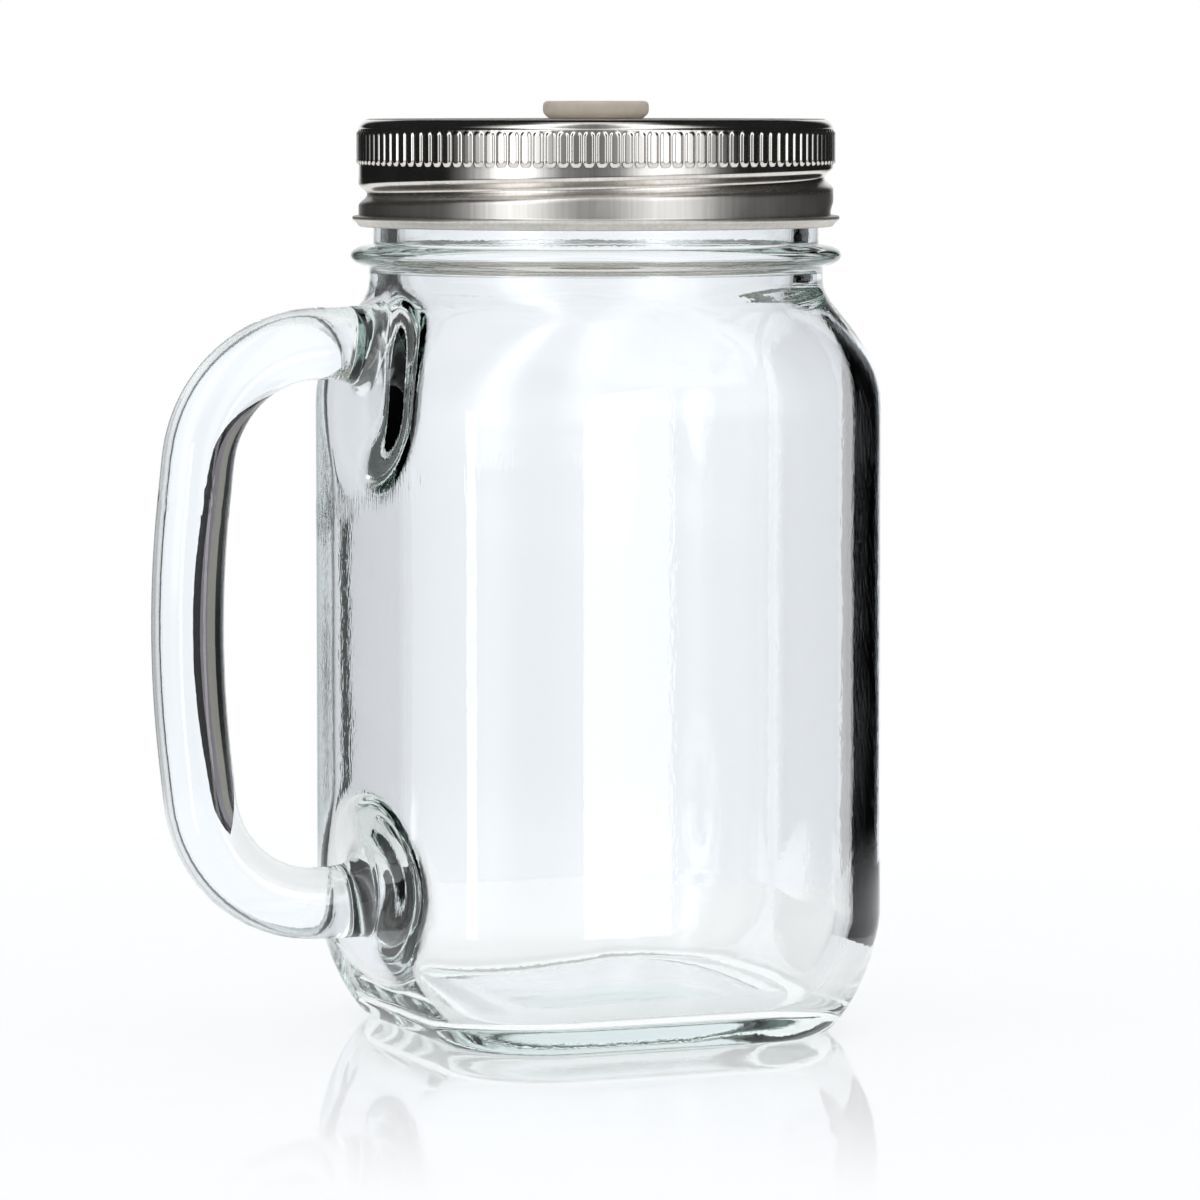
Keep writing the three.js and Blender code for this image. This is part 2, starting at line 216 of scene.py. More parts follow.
class Skin:
    """Points and faces of one mesh, gathered ring by ring."""

    def __init__(self):
        self.points = []
        self.faces = []
        self.count = 0

    def add(self, points):
        flat = np.asarray(points, float).reshape(-1, 3)
        index = np.arange(self.count, self.count + len(flat))
        self.points.append(flat)
        self.count += len(flat)
        return index.reshape(np.shape(points)[:-1])

    def band(self, low, high, keep=slice(None)):
        """Quads between two rings of equal size, or those of them that are kept."""
        quads = np.stack([low, np.roll(low, -1), np.roll(high, -1), high], axis=-1)
        self.faces.extend(quads[keep].tolist())

    def rows(self, rings):
        for low, high in zip(rings, rings[1:]):
            self.band(low, high)

    def fan(self, ring, centre):
        middle = int(self.add(np.array(centre, float)[None])[0])
        for a, b in zip(ring, np.roll(ring, -1)):
            self.faces.append([int(a), int(b), middle])

    def close(self, ring, edge, rise):
        """Rings from an edge in to the axis, each lifted by rise(share), share being 1 at the edge."""
        for share in np.linspace(1, LAST_RING, FLOOR_RINGS)[1:]:
            lift = rise(share)
            inner = self.add(edge * [share, share, 1] + [0, 0, lift])
            self.band(ring, inner)
            ring = inner
        self.fan(ring, (0, 0, edge[0, 2] + lift))

    def coarsen(self, fine, coarse):
        """Faces between a fine ring and a coarse one with a whole fraction of its points."""
        step = len(fine) // len(coarse)
        for k in range(len(coarse)):
            run = [int(fine[(k * step + i) % len(fine)]) for i in range(step + 1)]
            self.faces.append(run + [int(coarse[(k + 1) % len(coarse)]), int(coarse[k])])

    def build(self, name, material):
        mesh = bpy.data.meshes.new(name)
        mesh.from_pydata(np.vstack(self.points) * MM, [], self.faces)
        work = bmesh.new()
        work.from_mesh(mesh)
        loose = [v for v in work.verts if not v.link_faces]
        bmesh.ops.delete(work, geom=loose, context="VERTS")
        bmesh.ops.recalc_face_normals(work, faces=work.faces)
        work.to_mesh(mesh)
        work.free()
        mesh.shade_smooth()
        return placed(name, mesh, material)


def placed(name, mesh, material):
    """An object of the scene with this mesh and material."""
    mesh.materials.append(material)
    piece = bpy.data.objects.new(name, mesh)
    scene.collection.objects.link(piece)
    return piece


def polar(radius, angle, z):
    radius, angle, z = np.broadcast_arrays(radius, angle, z)
    return np.stack([radius * np.cos(angle), radius * np.sin(angle), z], axis=-1)


def circle(columns):
    return np.arange(columns) * FULL_TURN / columns


# Thread, on the jar's finish and in the lid's skirt
def screw_line(angle):
    return LID_LOW + GROOVE_LOW + THREAD_PITCH * (angle - GROOVE_START) / FULL_TURN


GROOVE_TURNS = (RIB_LOW - GROOVE_HIGH - LID_LOW - GROOVE_LOW) / THREAD_PITCH
RIDGE_RISE = THREAD_WIDTH / 2
RIDGE_END = FULL_TURN * (RIM - RIDGE_LEAD - RIDGE_RISE - screw_line(0)) / THREAD_PITCH
RIDGE_START = RIDGE_END - FULL_TURN * RIDGE_TURNS


def thread_share(angle, z, rise, start, turns):
    """Height of the thread at each point, from 0 to 1, faded out at both of its ends."""
    end = start + FULL_TURN * turns
    first = angle + FULL_TURN * np.ceil((start - angle) / FULL_TURN)
    share = np.zeros(np.broadcast(angle, z).shape)
    for turn in range(math.ceil(turns) + 1):
        place = first + FULL_TURN * turn
        off = np.minimum(1, np.abs(z - screw_line(place) - rise) / (THREAD_WIDTH / 2))
        fade = smooth((place - start) / THREAD_FADE) * smooth((end - place) / THREAD_FADE)
        share = np.maximum(share, fade * (1 + np.cos(math.pi * off)) / 2 * (place < end))
    return share


# Glass jar
def heel_share(t):
    return (1 - (1 - np.clip(t, 0, 1)) ** HEEL_POWER) ** (1 / HEEL_POWER)


def shoulder_share(t):
    """Shoulder's profile from 1, the body, to 0, the neck, with a soft run into the neck."""
    total, weights = 0, 0
    for shift in SOFT_SHIFTS:
        weight = 1 - shift**2
        place = np.clip(t + shift * SHOULDER_SOFT, 0, 1)
        total = total + weight * (1 - place**2) ** SHOULDER_POWER
        weights += weight
    return total / weights


def outer_section(z):
    """Half width and corner of the outer wall's rounded square at a height."""
    heel = heel_share(z / HEEL_HEIGHT)
    share = shoulder_share((z - BODY_HEIGHT) / SHOULDER_HEIGHT)
    half = mix(NECK_RADIUS, mix(BODY_HALF - HEEL_INSET, BODY_HALF, heel), share)
    corner = mix(NECK_RADIUS, mix(BASE_CORNER, BODY_CORNER, heel), share)
    return half, corner


def inner_section(z, angle):
    heel = heel_share((z - FLOOR) / (HEEL_HEIGHT - FLOOR))
    share = shoulder_share((z - BODY_HEIGHT) / SHOULDER_HEIGHT)
    half = mix(MOUTH_RADIUS, mix(BODY_HALF - HEEL_INSET - WALL / 2, BODY_HALF - WALL, heel), share)
    bend = INNER_CORNER - INNER_CORNER_SWING * np.cos(angle)
    corner = mix(MOUTH_RADIUS, mix(BASE_CORNER - WALL / 2, bend, heel), share)
    return half, corner


def reach(half, corner, angle):
    """Distance from the axis to a rounded square, at an angle."""
    c, s = np.abs(np.cos(angle)), np.abs(np.sin(angle))
    flat = half - corner
    on_flat = half * np.minimum(c, s) <= flat * np.maximum(c, s)
    bend = flat * (c + s) + np.sqrt(np.maximum(0, corner**2 - (flat * (c - s)) ** 2))
    return np.where(on_flat, half / np.maximum(c, s), bend)


def wall_x(y, z):
    """Distance of the outer wall from the plane x = 0, on the handle's side."""
    half, corner = outer_section(z)
    past = np.maximum(0, np.abs(y) - (half - corner))
    return half - corner + np.sqrt(np.maximum(0, corner**2 - past**2))


# Feet of the handle: heights of the flare and of the tube, the side that the rings start on, and the lump
UPPER_FOOT = {
    "z": HANDLE_TOP - UPPER_BOSS_DROP,
    "tube": HANDLE_TOP,
    "up": 1,
    "lump": UPPER_LUMP,
}
LOWER_FOOT = {
    "z": HANDLE_BOTTOM + LOWER_BOSS_RISE,
    "tube": HANDLE_BOTTOM,
    "up": -1,
    "lump": LOWER_LUMP,
}


def ripple(angle, z):
    """Slow unevenness of the blown inner wall."""
    total = 0
    for depth, length, waves, start in RIPPLES:
        total = total + depth * np.sin(FULL_TURN * z / length + waves * angle + start)
    return total


def swelling(y, z):
    """Height of the flat-topped lumps that the fused feet of the handle raise on the inner wall."""
    total = 0
    for foot in (UPPER_FOOT, LOWER_FOOT):
        wide, tall, rise = foot["lump"]
        off = np.hypot(y / wide, (z - foot["z"] - rise) / tall)
        total = total + LUMP_DEPTH * smooth((1 - off) / (1 - LUMP_FLAT))
    return total


def outer_rows():
    """Heights of the outer wall's rows, with a row at the top and bottom of each foot."""
    low = LOWER_FOOT["z"] - FOOT_HALF
    mid = LOWER_FOOT["z"] + FOOT_HALF
    high = UPPER_FOOT["z"] - FOOT_HALF
    top = UPPER_FOOT["z"] + FOOT_HALF
    parts = [
        low * np.linspace(0, 1, HEEL_ROWS) ** 2,
        np.linspace(low, mid, FOOT_COLUMNS + 1)[1:],
        np.linspace(mid, high, WALL_ROWS)[1:],
        np.linspace(high, top, FOOT_COLUMNS + 1)[1:],
        np.linspace(top, BEAD_LOW, NECK_ROWS)[1:],
    ]
    return np.concatenate(parts)


def bead_points(angle):
    t = np.linspace(0, 1, BEAD_ROWS)[1:, None]
    swing = math.pi * (t - 0.5)
    foot = mix(NECK_RADIUS, ROOT_RADIUS, t)
    radius = foot + (NECK_RADIUS + BEAD_DEPTH - foot) * np.cos(swing)
    return polar(radius, angle, (BEAD_LOW + BEAD_TOP) / 2 + BEAD_HEIGHT / 2 * np.sin(swing))


def finish_points(angle):
    """The threaded wall between the bead and the rim."""
    z = np.linspace(BEAD_TOP, RIM - RIM_ROUND, FINISH_ROWS)[1:-1, None]
    ridge = THREAD_DEPTH * thread_share(angle, z, RIDGE_RISE, RIDGE_START, RIDGE_TURNS)
    return polar(ROOT_RADIUS + ridge, angle, z)


def rim_points(angle):
    turn = np.linspace(0, math.pi / 2, RIM_ROWS)[:, None]
    across, up = RIM_ROUND * (1 - np.cos(turn)), RIM_ROUND * (1 - np.sin(turn))
    radius = np.concatenate([ROOT_RADIUS - across, MOUTH_RADIUS + up])
    return polar(radius, angle, np.concatenate([RIM - up, RIM - across]))


def inside_points(angle):
    """The inner wall, from the rim down to the edge of the floor."""
    upright = np.linspace(RIM - RIM_ROUND, HEEL_HEIGHT, INSIDE_ROWS)
    heel = FLOOR + (HEEL_HEIGHT - FLOOR) * np.linspace(1, 0, INSIDE_HEEL_ROWS) ** 2
    z = np.concatenate([upright[1:], heel[1:]])[:, None]
    half, corner = inner_section(z, angle)
    fade = smooth((RIM - RIPPLE_TOP - z) / RIPPLE_FADE_TOP) * smooth((z - FLOOR) / RIPPLE_FADE_LOW)
    points = polar(reach(half, corner, angle) + fade * ripple(angle, z), angle, z)
    points[..., 0] += np.where(points[..., 0] < 0, swelling(points[..., 1], z), 0)
    return points


def base_hollow(share):
    return BASE_HOLLOW * smooth((HOLLOW_EDGE - share) / HOLLOW_RUN)


def floor_dome(share):
    return FLOOR_DOME * smooth((1 - share) / DOME_RUN)


def arc(x, z, radius, start, end):
    turn = np.linspace(start, end, PATH_POINTS)
    return np.c_[x + radius * np.cos(turn), z + radius * np.sin(turn)]


def distances(line):
    """Distance along a line of points, at each of them."""
    return np.r_[0, np.cumsum(np.hypot(*np.diff(line, axis=0).T))]


def points_at(line, places):
    length = distances(line)
    return np.c_[np.interp(places, length, line[:, 0]), np.interp(places, length, line[:, 1])]


def handle_path():
    """Even points along the handle's centre line, with a direction at each, from the upper foot down."""
    high, low = HANDLE_TOP - UPPER_BEND, HANDLE_BOTTOM + LOWER_BEND
    bend = arc(UPPER_BEND - HANDLE_REACH, high, UPPER_BEND, math.pi / 2, math.pi)
    back = arc(LOWER_BEND - HANDLE_REACH, low, LOWER_BEND, math.pi, 1.5 * math.pi)
    t = np.linspace(0, 1, PATH_POINTS)[:, None]
    start = np.array([-HANDLE_REACH, high])
    end = np.array([-HANDLE_REACH, low])
    pull = (start + end) / 2 - np.array([2 * HANDLE_BOW, 0])
    bow = (1 - t) ** 2 * start + 2 * t * (1 - t) * pull + t**2 * end
    first = [PATH_LEAD - FILLET_END, HANDLE_TOP]
    last = [PATH_LEAD - FILLET_END, HANDLE_BOTTOM]
    line = np.vstack([first, bend, bow[1:], back[1:], last])
    points = points_at(line, np.arange(0, distances(line)[-1], PATH_STEP))
    window = np.hanning(2 * PATH_EASE + 1)
    window /= window.sum()
    for axis in range(2):
        points[PATH_EASE:-PATH_EASE, axis] = np.convolve(points[:, axis], window, "valid")
    plain = points[points[:, 0] < -FILLET_END]
    plain = np.vstack([[-FILLET_END, HANDLE_TOP], plain[2:-2], [-FILLET_END, HANDLE_BOTTOM]])
    length = distances(plain)[-1]
    points = points_at(plain, np.linspace(0, length, int(length / TUBE_STEP) + 1))
    along = np.gradient(points, axis=0)
    along /= np.hypot(*along.T)[:, None]
    return points, along


def foot_loop(index, first_row, columns, foot):
    """Points of the wall round the hole for one foot, in the order of the tube's sides."""
    last_row = first_row + FOOT_COLUMNS
    left, right = columns
    middle = (left + right) // 2
    near, far = (last_row, first_row) if foot["up"] > 0 else (first_row, last_row)
    step = -foot["up"]
    loop = [index[near, j] for j in range(middle, left, -1)]
    loop += [index[i, left] for i in range(near, far, step)]
    loop += [index[far, j] for j in range(left, right)]
    loop += [index[i, right] for i in range(far, near, -step)]
    loop += [index[near, j] for j in range(right, middle, -1)]
    return np.array(loop)


def foot_rings(skin, loop, foot):
    """Rings from the hole in the wall, over a round fillet, to the first ring of the handle."""
    spoke = circle(len(loop))
    way = np.c_[np.sin(spoke), foot["up"] * np.cos(spoke)]
    wall = np.vstack(skin.points)[loop][:, 1:]
    outer = np.array([0, foot["z"]]) + (HANDLE_RADIUS + BOSS_FLARE) * way
    inner = np.array([0, foot["tube"]]) + HANDLE_RADIUS * way
    rings = [loop]
    for k in range(1, FOOT_RINGS + 1):
        place = mix(wall, outer, smooth(k / FOOT_RINGS))
        rings.append(skin.add(np.c_[-wall_x(place[:, 0], place[:, 1]), place]))
    rise = FILLET_END - wall_x(inner[:, 0], inner[:, 1])
    for k in range(1, FILLET_RINGS + 1):
        s = k / FILLET_RINGS
        place = mix(outer, inner, 1 - (1 - s) ** 2)
        x = wall_x(place[:, 0], place[:, 1]) + rise * s**2
        rings.append(skin.add(np.c_[-x, place]))
    skin.rows(rings)
    return rings[-1]


def handle_tube(skin, first, last):
    """The handle's rod, between the last rings of its two feet."""
    points, along = handle_path()
    sides = circle(len(first))
    across = HANDLE_RADIUS * np.cos(sides)
    rings = [first]
    for (x, z), (way_x, way_z) in zip(points[1:-1], along[1:-1]):
        ring = np.c_[x + way_z * across, HANDLE_RADIUS * np.sin(sides), z - way_x * across]
        rings.append(skin.add(ring))
    rings.append(last)
    skin.rows(rings)


def jar_glass(material):
    """Jar and handle as one skin of glass, outside and inside."""
    skin = Skin()
    angle = circle(COLUMNS)[None]
    z = outer_rows()
    half, corner = outer_section(z[:, None])
    wall = polar(reach(half, corner, angle), angle, z[:, None])
    index = skin.add(wall)

    left = COLUMNS // 2 - FOOT_COLUMNS // 2
    right = left + FOOT_COLUMNS
    keep = np.ones((len(z) - 1, COLUMNS), bool)
    feet = []
    for foot in (UPPER_FOOT, LOWER_FOOT):
        first = int(np.argmin(np.abs(z - (foot["z"] - FOOT_HALF))))
        keep[first : first + FOOT_COLUMNS, left:right] = False
        feet.append(foot_rings(skin, foot_loop(index, first, (left, right), foot), foot))
    for low, high, kept in zip(index, index[1:], keep):
        skin.band(low, high, kept)
    handle_tube(skin, *feet)
    skin.close(index[0], wall[0], base_hollow)

    rows = [index[-1]]
    inside = inside_points(angle)
    for points in (bead_points(angle), finish_points(angle), rim_points(angle), inside):
        rows += list(skin.add(points))
    skin.rows(rows)
    skin.close(rows[-1], inside[-1], floor_dome)
    return skin.build("jar_glass", material)


# Lid
def rib_height(angle, z):
    """Flat-topped pills pressed out of the edge of the lid."""
    pitch = FULL_TURN / RIB_COUNT
    across = (np.mod(angle / pitch + 0.5, 1) - 0.5) * pitch * SKIRT_OUTSIDE
    dx = np.maximum(np.abs(across) - (RIB_HALF - RIB_ROUND), 0)
    dz = np.maximum(np.abs(z - (RIB_LOW + RIB_HIGH) / 2) - (RIB_LENGTH / 2 - RIB_ROUND), 0)
    return RIB_RISE * smooth((RIB_ROUND + RIB_SPREAD - np.hypot(dx, dz)) / RIB_FLANK)


def lid_cap(material):
    """The pressed steel cap, outside and inside."""
    skin = Skin()
    angle = circle(COLUMNS)
    fine = circle(RIB_COUNT * RIB_COLUMNS)

    def ring(radius, z):
        return skin.add(polar(radius, angle, z))

    def rolled(radius, z):
        share = thread_share(angle, z, 0, GROOVE_START, GROOVE_TURNS)
        return ring(radius - THREAD_DEPTH * share, z)

    def bend(outside, top, radius, turn):
        return ring(outside - radius * (1 - math.cos(turn)), top - radius * (1 - math.sin(turn)))

    # Flared and rolled edge, then the skirt with its groove, up to the ribs
    skirt_low = LID_LOW + CURL_HEIGHT
    skirt_high = RIB_LOW - SKIRT_END
    lip = SKIRT_OUTSIDE + CURL_FLARE
    rows = [ring(SKIRT_INSIDE, LID_LOW)]
    for share in np.linspace(0, 1, CURL_ROWS)[:-1]:
        radius = mix(SKIRT_INSIDE + CURL_EDGE, lip - CURL_NOSE, share)
        rows.append(ring(radius, LID_LOW + share * CURL_RISE))
    for turn in np.linspace(NOSE_START, math.pi / 2, NOSE_ROWS):
        rows.append(bend(lip, skirt_low, CURL_NOSE, turn))
    for z in np.linspace(skirt_low, skirt_high, SKIRT_ROWS):
        rows.append(rolled(SKIRT_OUTSIDE, z))
    skin.rows(rows)
    first, last = rows[0], rows[-1]

    ribs = []
    for z in np.linspace(skirt_high + RIB_ROWS_LEAD, RIB_HIGH + RIB_ROWS_PAST, RIB_ROWS):
        ribs.append(skin.add(polar(SKIRT_OUTSIDE + rib_height(fine, z), fine, z)))
    skin.rows(ribs)
    skin.coarsen(ribs[0], last)

    # Rounded corner, top with its hole, and the inside
    rows = []
    for turn in np.linspace(LID_CORNER_START, math.pi / 2, LID_CORNER_ROWS):
        rows.append(bend(SKIRT_OUTSIDE, LID_TOP, LID_CORNER, turn))
    skin.coarsen(ribs[-1], rows[0])
    for radius in np.linspace(SKIRT_OUTSIDE - LID_CORNER, LID_HOLE, LID_TOP_RINGS)[1:]:
        rows.append(ring(radius, LID_TOP))
    inner_round = LID_CORNER - LID_SHEET
    for radius in np.linspace(LID_HOLE, SKIRT_INSIDE - inner_round, LID_INSIDE_RINGS):
        rows.append(ring(radius, LID_INSIDE))
    for turn in np.linspace(math.pi / 2, 0, LID_INSIDE_RINGS)[1:]:
        rows.append(bend(SKIRT_INSIDE, LID_INSIDE, inner_round, turn))
    for z in np.linspace(skirt_high, skirt_low, SKIRT_ROWS):
        rows.append(rolled(SKIRT_INSIDE, z))
    skin.rows(rows)
    skin.band(rows[-1], first)
    return skin.build("lid_cap", material)


def turned(name, profile, columns, material):
    """A closed ring turned from a profile of (radius, height) points."""
    skin = Skin()
    angle = circle(columns)
    rows = [skin.add(polar(r, angle, z)) for r, z in profile]
    rows.append(rows[0])
    skin.rows(rows)
    return skin.build(name, material)


def rounded(corners, steps=5):
    """A closed profile with each corner (radius, height, round) drawn as a smooth bend."""
    profile = []
    count = len(corners)
    for k, (r, z, bend) in enumerate(corners):
        here = np.array([r, z])
        before = np.array(corners[k - 1][:2]) - here
        after = np.array(corners[(k + 1) % count][:2]) - here
        start = here + before / np.hypot(*before) * bend
        end = here + after / np.hypot(*after) * bend
        for t in np.linspace(0, 1, steps):
            profile.append((1 - t) ** 2 * start + 2 * t * (1 - t) * here + t**2 * end)
    return profile


def seal_profile():
    inner, outer = MOUTH_RADIUS - SEAL_OVERHANG, ROOT_RADIUS + SEAL_OVERHANG
    places = ((inner, SEAL_LOW), (outer, SEAL_LOW), (outer, SEAL_TOP), (inner, SEAL_TOP))
    return rounded([(r, z, SEAL_ROUND) for r, z in places])


def grommet_profile():
    top = LID_TOP + GAP + FLANGE_THICKNESS
    flange = LID_HOLE + FLANGE_REACH
    lower = LID_HOLE + LOWER_FLANGE_REACH
    low = LID_INSIDE - GAP - LOWER_FLANGE_THICKNESS
    under, over = LID_INSIDE - GROMMET_TOUCH, LID_TOP + GROMMET_TOUCH
    return rounded(
        [
            (STRAW_HOLE, low, 0.3),
            (lower, low, 0.5),
            (lower, under, 0.2),
            (GROMMET_NECK, under, 0.1),
            (GROMMET_NECK, over, 0.1),
            (flange - FLANGE_CHAMFER, over, 0.25),
            (flange, LID_TOP + FLANGE_CHAMFER, 0.45),
            (flange, top, 0.8),
            (STRAW_HOLE, top, 0.4),
        ]
    )


# Shader nodes. A helper that works out a value or a colour returns its socket
def new_material(name):
    material = bpy.data.materials.new(name)
    material.use_nodes = True
    tree = material.node_tree
    tree.nodes.clear()
    return material, tree


def node(tree, kind, **values):
    """A new node with its options and its inputs set."""
    made = tree.nodes.new(kind)
    for key, value in values.items():
        if hasattr(made, key):
            setattr(made, key, value)
        else:
            made.inputs[key.replace("_", " ")].default_value = value
    return made


def feed(tree, socket, value):
    """Link an input to a socket, or set it to a plain number."""
    if isinstance(value, bpy.types.NodeSocket):
        tree.links.new(value, socket)
    else:
        socket.default_value = value


def calc(tree, operation, *values):
    """One step of arithmetic on sockets and plain numbers."""
    made = node(tree, "ShaderNodeMath", operation=operation)
    for socket, value in zip(made.inputs, values):
        feed(tree, socket, value)
    return made.outputs[0]


def remap(tree, source, span, to=(0, 1), soft=False):
    """A value run from one span to another and held at its ends, which soft eases."""
    made = node(tree, "ShaderNodeMapRange", interpolation_type="SMOOTHSTEP" if soft else "LINEAR")
    for name, value in zip(("From Min", "From Max", "To Min", "To Max"), (*span, *to)):
        made.inputs[name].default_value = value
    tree.links.new(source, made.inputs["Value"])
    return made.outputs[0]


def noise(tree, coords, scale, detail, stretch=1.0):
    """Noise over object coordinates, drawn out upright by a stretch under 1."""
    place = node(tree, "ShaderNodeMapping", Scale=(1, 1, stretch))
    tree.links.new(coords, place.inputs["Vector"])
    texture = node(tree, "ShaderNodeTexNoise", Scale=scale, Detail=detail, Roughness=0.6)
    tree.links.new(place.outputs[0], texture.inputs["Vector"])
    return texture.outputs[0]


def ramp(tree, source, stops):
    """Colours that run between stops of (place from 0 to 1, colour)."""
    made = node(tree, "ShaderNodeValToRGB")
    elements = made.color_ramp.elements
    while len(elements) < len(stops):
        elements.new(0.5)
    for element, (place, colour) in zip(elements, stops):
        element.position = place
        element.color = (*colour, 1)
    tree.links.new(source, made.inputs[0])
    return made.outputs[0]


def lay_over(tree, share, under, colour, blend_type="MIX"):
    """A colour laid over another one, as far as share says."""
    made = node(tree, "ShaderNodeMixRGB", blend_type=blend_type, Color2=(*colour, 1))
    tree.links.new(share, made.inputs["Fac"])
    tree.links.new(under, made.inputs["Color1"])
    return made.outputs[0]


def blend(tree, share, first, second):
    """The first shader where share is 0, and the second where it is 1."""
    made = node(tree, "ShaderNodeMixShader")
    for socket, value in zip(made.inputs, (share, first.outputs[0], second.outputs[0])):
        tree.links.new(value, socket)
    return made


def dent(tree, shader, height, distance, strength):
    """Small dents in the surface of a shader."""
    made = node(tree, "ShaderNodeBump", Distance=distance)
    feed(tree, made.inputs["Strength"], strength)
    tree.links.new(height, made.inputs["Height"])
    tree.links.new(made.outputs[0], shader.inputs["Normal"])


def split(tree, vector):
    parts = node(tree, "ShaderNodeSeparateXYZ")
    tree.links.new(vector, parts.inputs[0])
    return parts.outputs


def object_coords(tree):
    return node(tree, "ShaderNodeTexCoord").outputs["Object"]


def to_output(tree, shader, kind="ShaderNodeOutputMaterial"):
    out = node(tree, kind)
    tree.links.new(shader.outputs[0], out.inputs["Surface"])
    return out


# Materials. Depths of dents are in metres
NOISE_SPAN = (0.3, 0.7)  # where most of the noise lies
CHILL_HEIGHT = 81.5  # belt of chill marks in the glass
CHILL_HALF = 4.0
CHILL_SLOPE = 0.18
CHILL_DEPTH = 7.0
CHILL_SIDE = (-10.0, -20.0)  # the belt comes in over this span, towards the handle
GLASS_DENT = 0.000006
GLASS_SHADOW = (0.93, 0.95, 0.94, 1)
GLASS_TINT = (0.35, 0.6, 0.52, 1)
TINT_DENSITY = 5.5
STEEL_DARK = (0.70, 0.665, 0.62)
STEEL_LIGHT = (0.82, 0.785, 0.735)
STEEL_ROUGHNESS = (0.10, 0.17)
STEEL_DENT = 0.00002
SKIRT_SPAN = (7.5, 4.5)  # heights over the lid's edge where the streaks come in
SKIRT_STREAKS = (0.06, 0.8)
SKIRT_ROUGHER = 0.18
CURL_SPAN = (1.8, 1.2)
CURL_ROUGHER = 0.2
TOP_SPAN = (-0.15, -0.02)  # heights from the lid's top
TOP_ROUGHER = 0.62
RUBBER_SPAN = (0.35, 0.65)
RUBBER_SWING = 0.08  # of its roughness
RUBBER_DENT = 0.00005


def glass_material():
    """Clear glass, faintly green in its depth, with a fine grain and a belt of chill marks."""
    material, tree = new_material("clear_glass")
    glass = node(tree, "ShaderNodeBsdfPrincipled", Base_Color=(1, 1, 1, 1), Roughness=0.0, IOR=1.5)
    glass.inputs["Transmission Weight"].default_value = 1
    coords = object_coords(tree)
    x, y, z = split(tree, coords)
    grain = noise(tree, coords, scale=1500, detail=1, stretch=0.4)
    marks = noise(tree, coords, scale=1700, detail=1, stretch=0.15)
    # Chill marks: a slanting belt of small upright dents on the handle's side
    height = calc(tree, "MULTIPLY_ADD", y, CHILL_SLOPE, z)
    apart = calc(tree, "ABSOLUTE", calc(tree, "SUBTRACT", height, CHILL_HEIGHT * MM))
    belt = remap(tree, apart, (CHILL_HALF * MM, 0), (0, CHILL_DEPTH))
    side = remap(tree, x, [edge * MM for edge in CHILL_SIDE])
    here = calc(tree, "MULTIPLY", belt, side)
    uneven = calc(tree, "MULTIPLY_ADD", marks, here, grain)
    dent(tree, glass, uneven, GLASS_DENT, strength=1.0)
    clear = node(tree, "ShaderNodeBsdfTransparent", Color=GLASS_SHADOW)
    path = node(tree, "ShaderNodeLightPath")
    out = to_output(tree, blend(tree, path.outputs["Is Shadow Ray"], glass, clear))
    tint = node(tree, "ShaderNodeVolumeAbsorption", Color=GLASS_TINT, Density=TINT_DENSITY)
    tree.links.new(tint.outputs[0], out.inputs["Volume"])
    return material


def steel_material():
    """Drawn steel: fine upright streaks, strongest low on the skirt, over a satin shine; duller on top."""
    material, tree = new_material("satin_steel")
    steel = node(tree, "ShaderNodeBsdfPrincipled", Metallic=1.0)
    coords = object_coords(tree)
    z = split(tree, coords)[2]
    streaks = noise(tree, coords, scale=1500, detail=4, stretch=0.03)
    clouds = noise(tree, coords, scale=90, detail=3)
    skirt = remap(tree, z, [(LID_LOW + height) * MM for height in SKIRT_SPAN])
    curl = remap(tree, z, [(LID_LOW + height) * MM for height in CURL_SPAN], (0, CURL_ROUGHER))
    top = remap(tree, z, [(LID_TOP + height) * MM for height in TOP_SPAN], (0, TOP_ROUGHER))
    shine = remap(tree, clouds, NOISE_SPAN, STEEL_ROUGHNESS)
    dull = calc(tree, "ADD", shine, calc(tree, "ADD", curl, top))
    rough = calc(tree, "MULTIPLY_ADD", skirt, SKIRT_ROUGHER, dull)
    tree.links.new(rough, steel.inputs["Roughness"])
    tone = ramp(tree, streaks, list(zip(NOISE_SPAN, (STEEL_DARK, STEEL_LIGHT))))
    tree.links.new(tone, steel.inputs["Base Color"])
    depth = remap(tree, skirt, (0, 1), SKIRT_STREAKS)
    dent(tree, steel, streaks, STEEL_DENT, strength=depth)
    to_output(tree, steel)
    return material


def rubber_material(name, dark, light, roughness, glow):
    """Moulded rubber: cloudy colour and a fine uneven satin skin; glow is how far light soaks in."""
    material, tree = new_material(name)
    rubber = node(tree, "ShaderNodeBsdfPrincipled", IOR=1.41)
    rubber.inputs["Subsurface Weight"].default_value = glow
    rubber.inputs["Subsurface Radius"].default_value = (1.0, 0.8, 0.6)
    rubber.inputs["Subsurface Scale"].default_value = 0.002
    coords = object_coords(tree)
    clouds = noise(tree, coords, scale=260, detail=3)
    grain = noise(tree, coords, scale=2600, detail=2)
    tone = ramp(tree, clouds, list(zip(RUBBER_SPAN, (dark, light))))
    tree.links.new(tone, rubber.inputs["Base Color"])
    shine = remap(tree, grain, NOISE_SPAN, (roughness - RUBBER_SWING, roughness + RUBBER_SWING))
    tree.links.new(shine, rubber.inputs["Roughness"])
    dent(tree, rubber, grain, RUBBER_DENT, strength=0.4)
    to_output(tree, rubber)
    return material


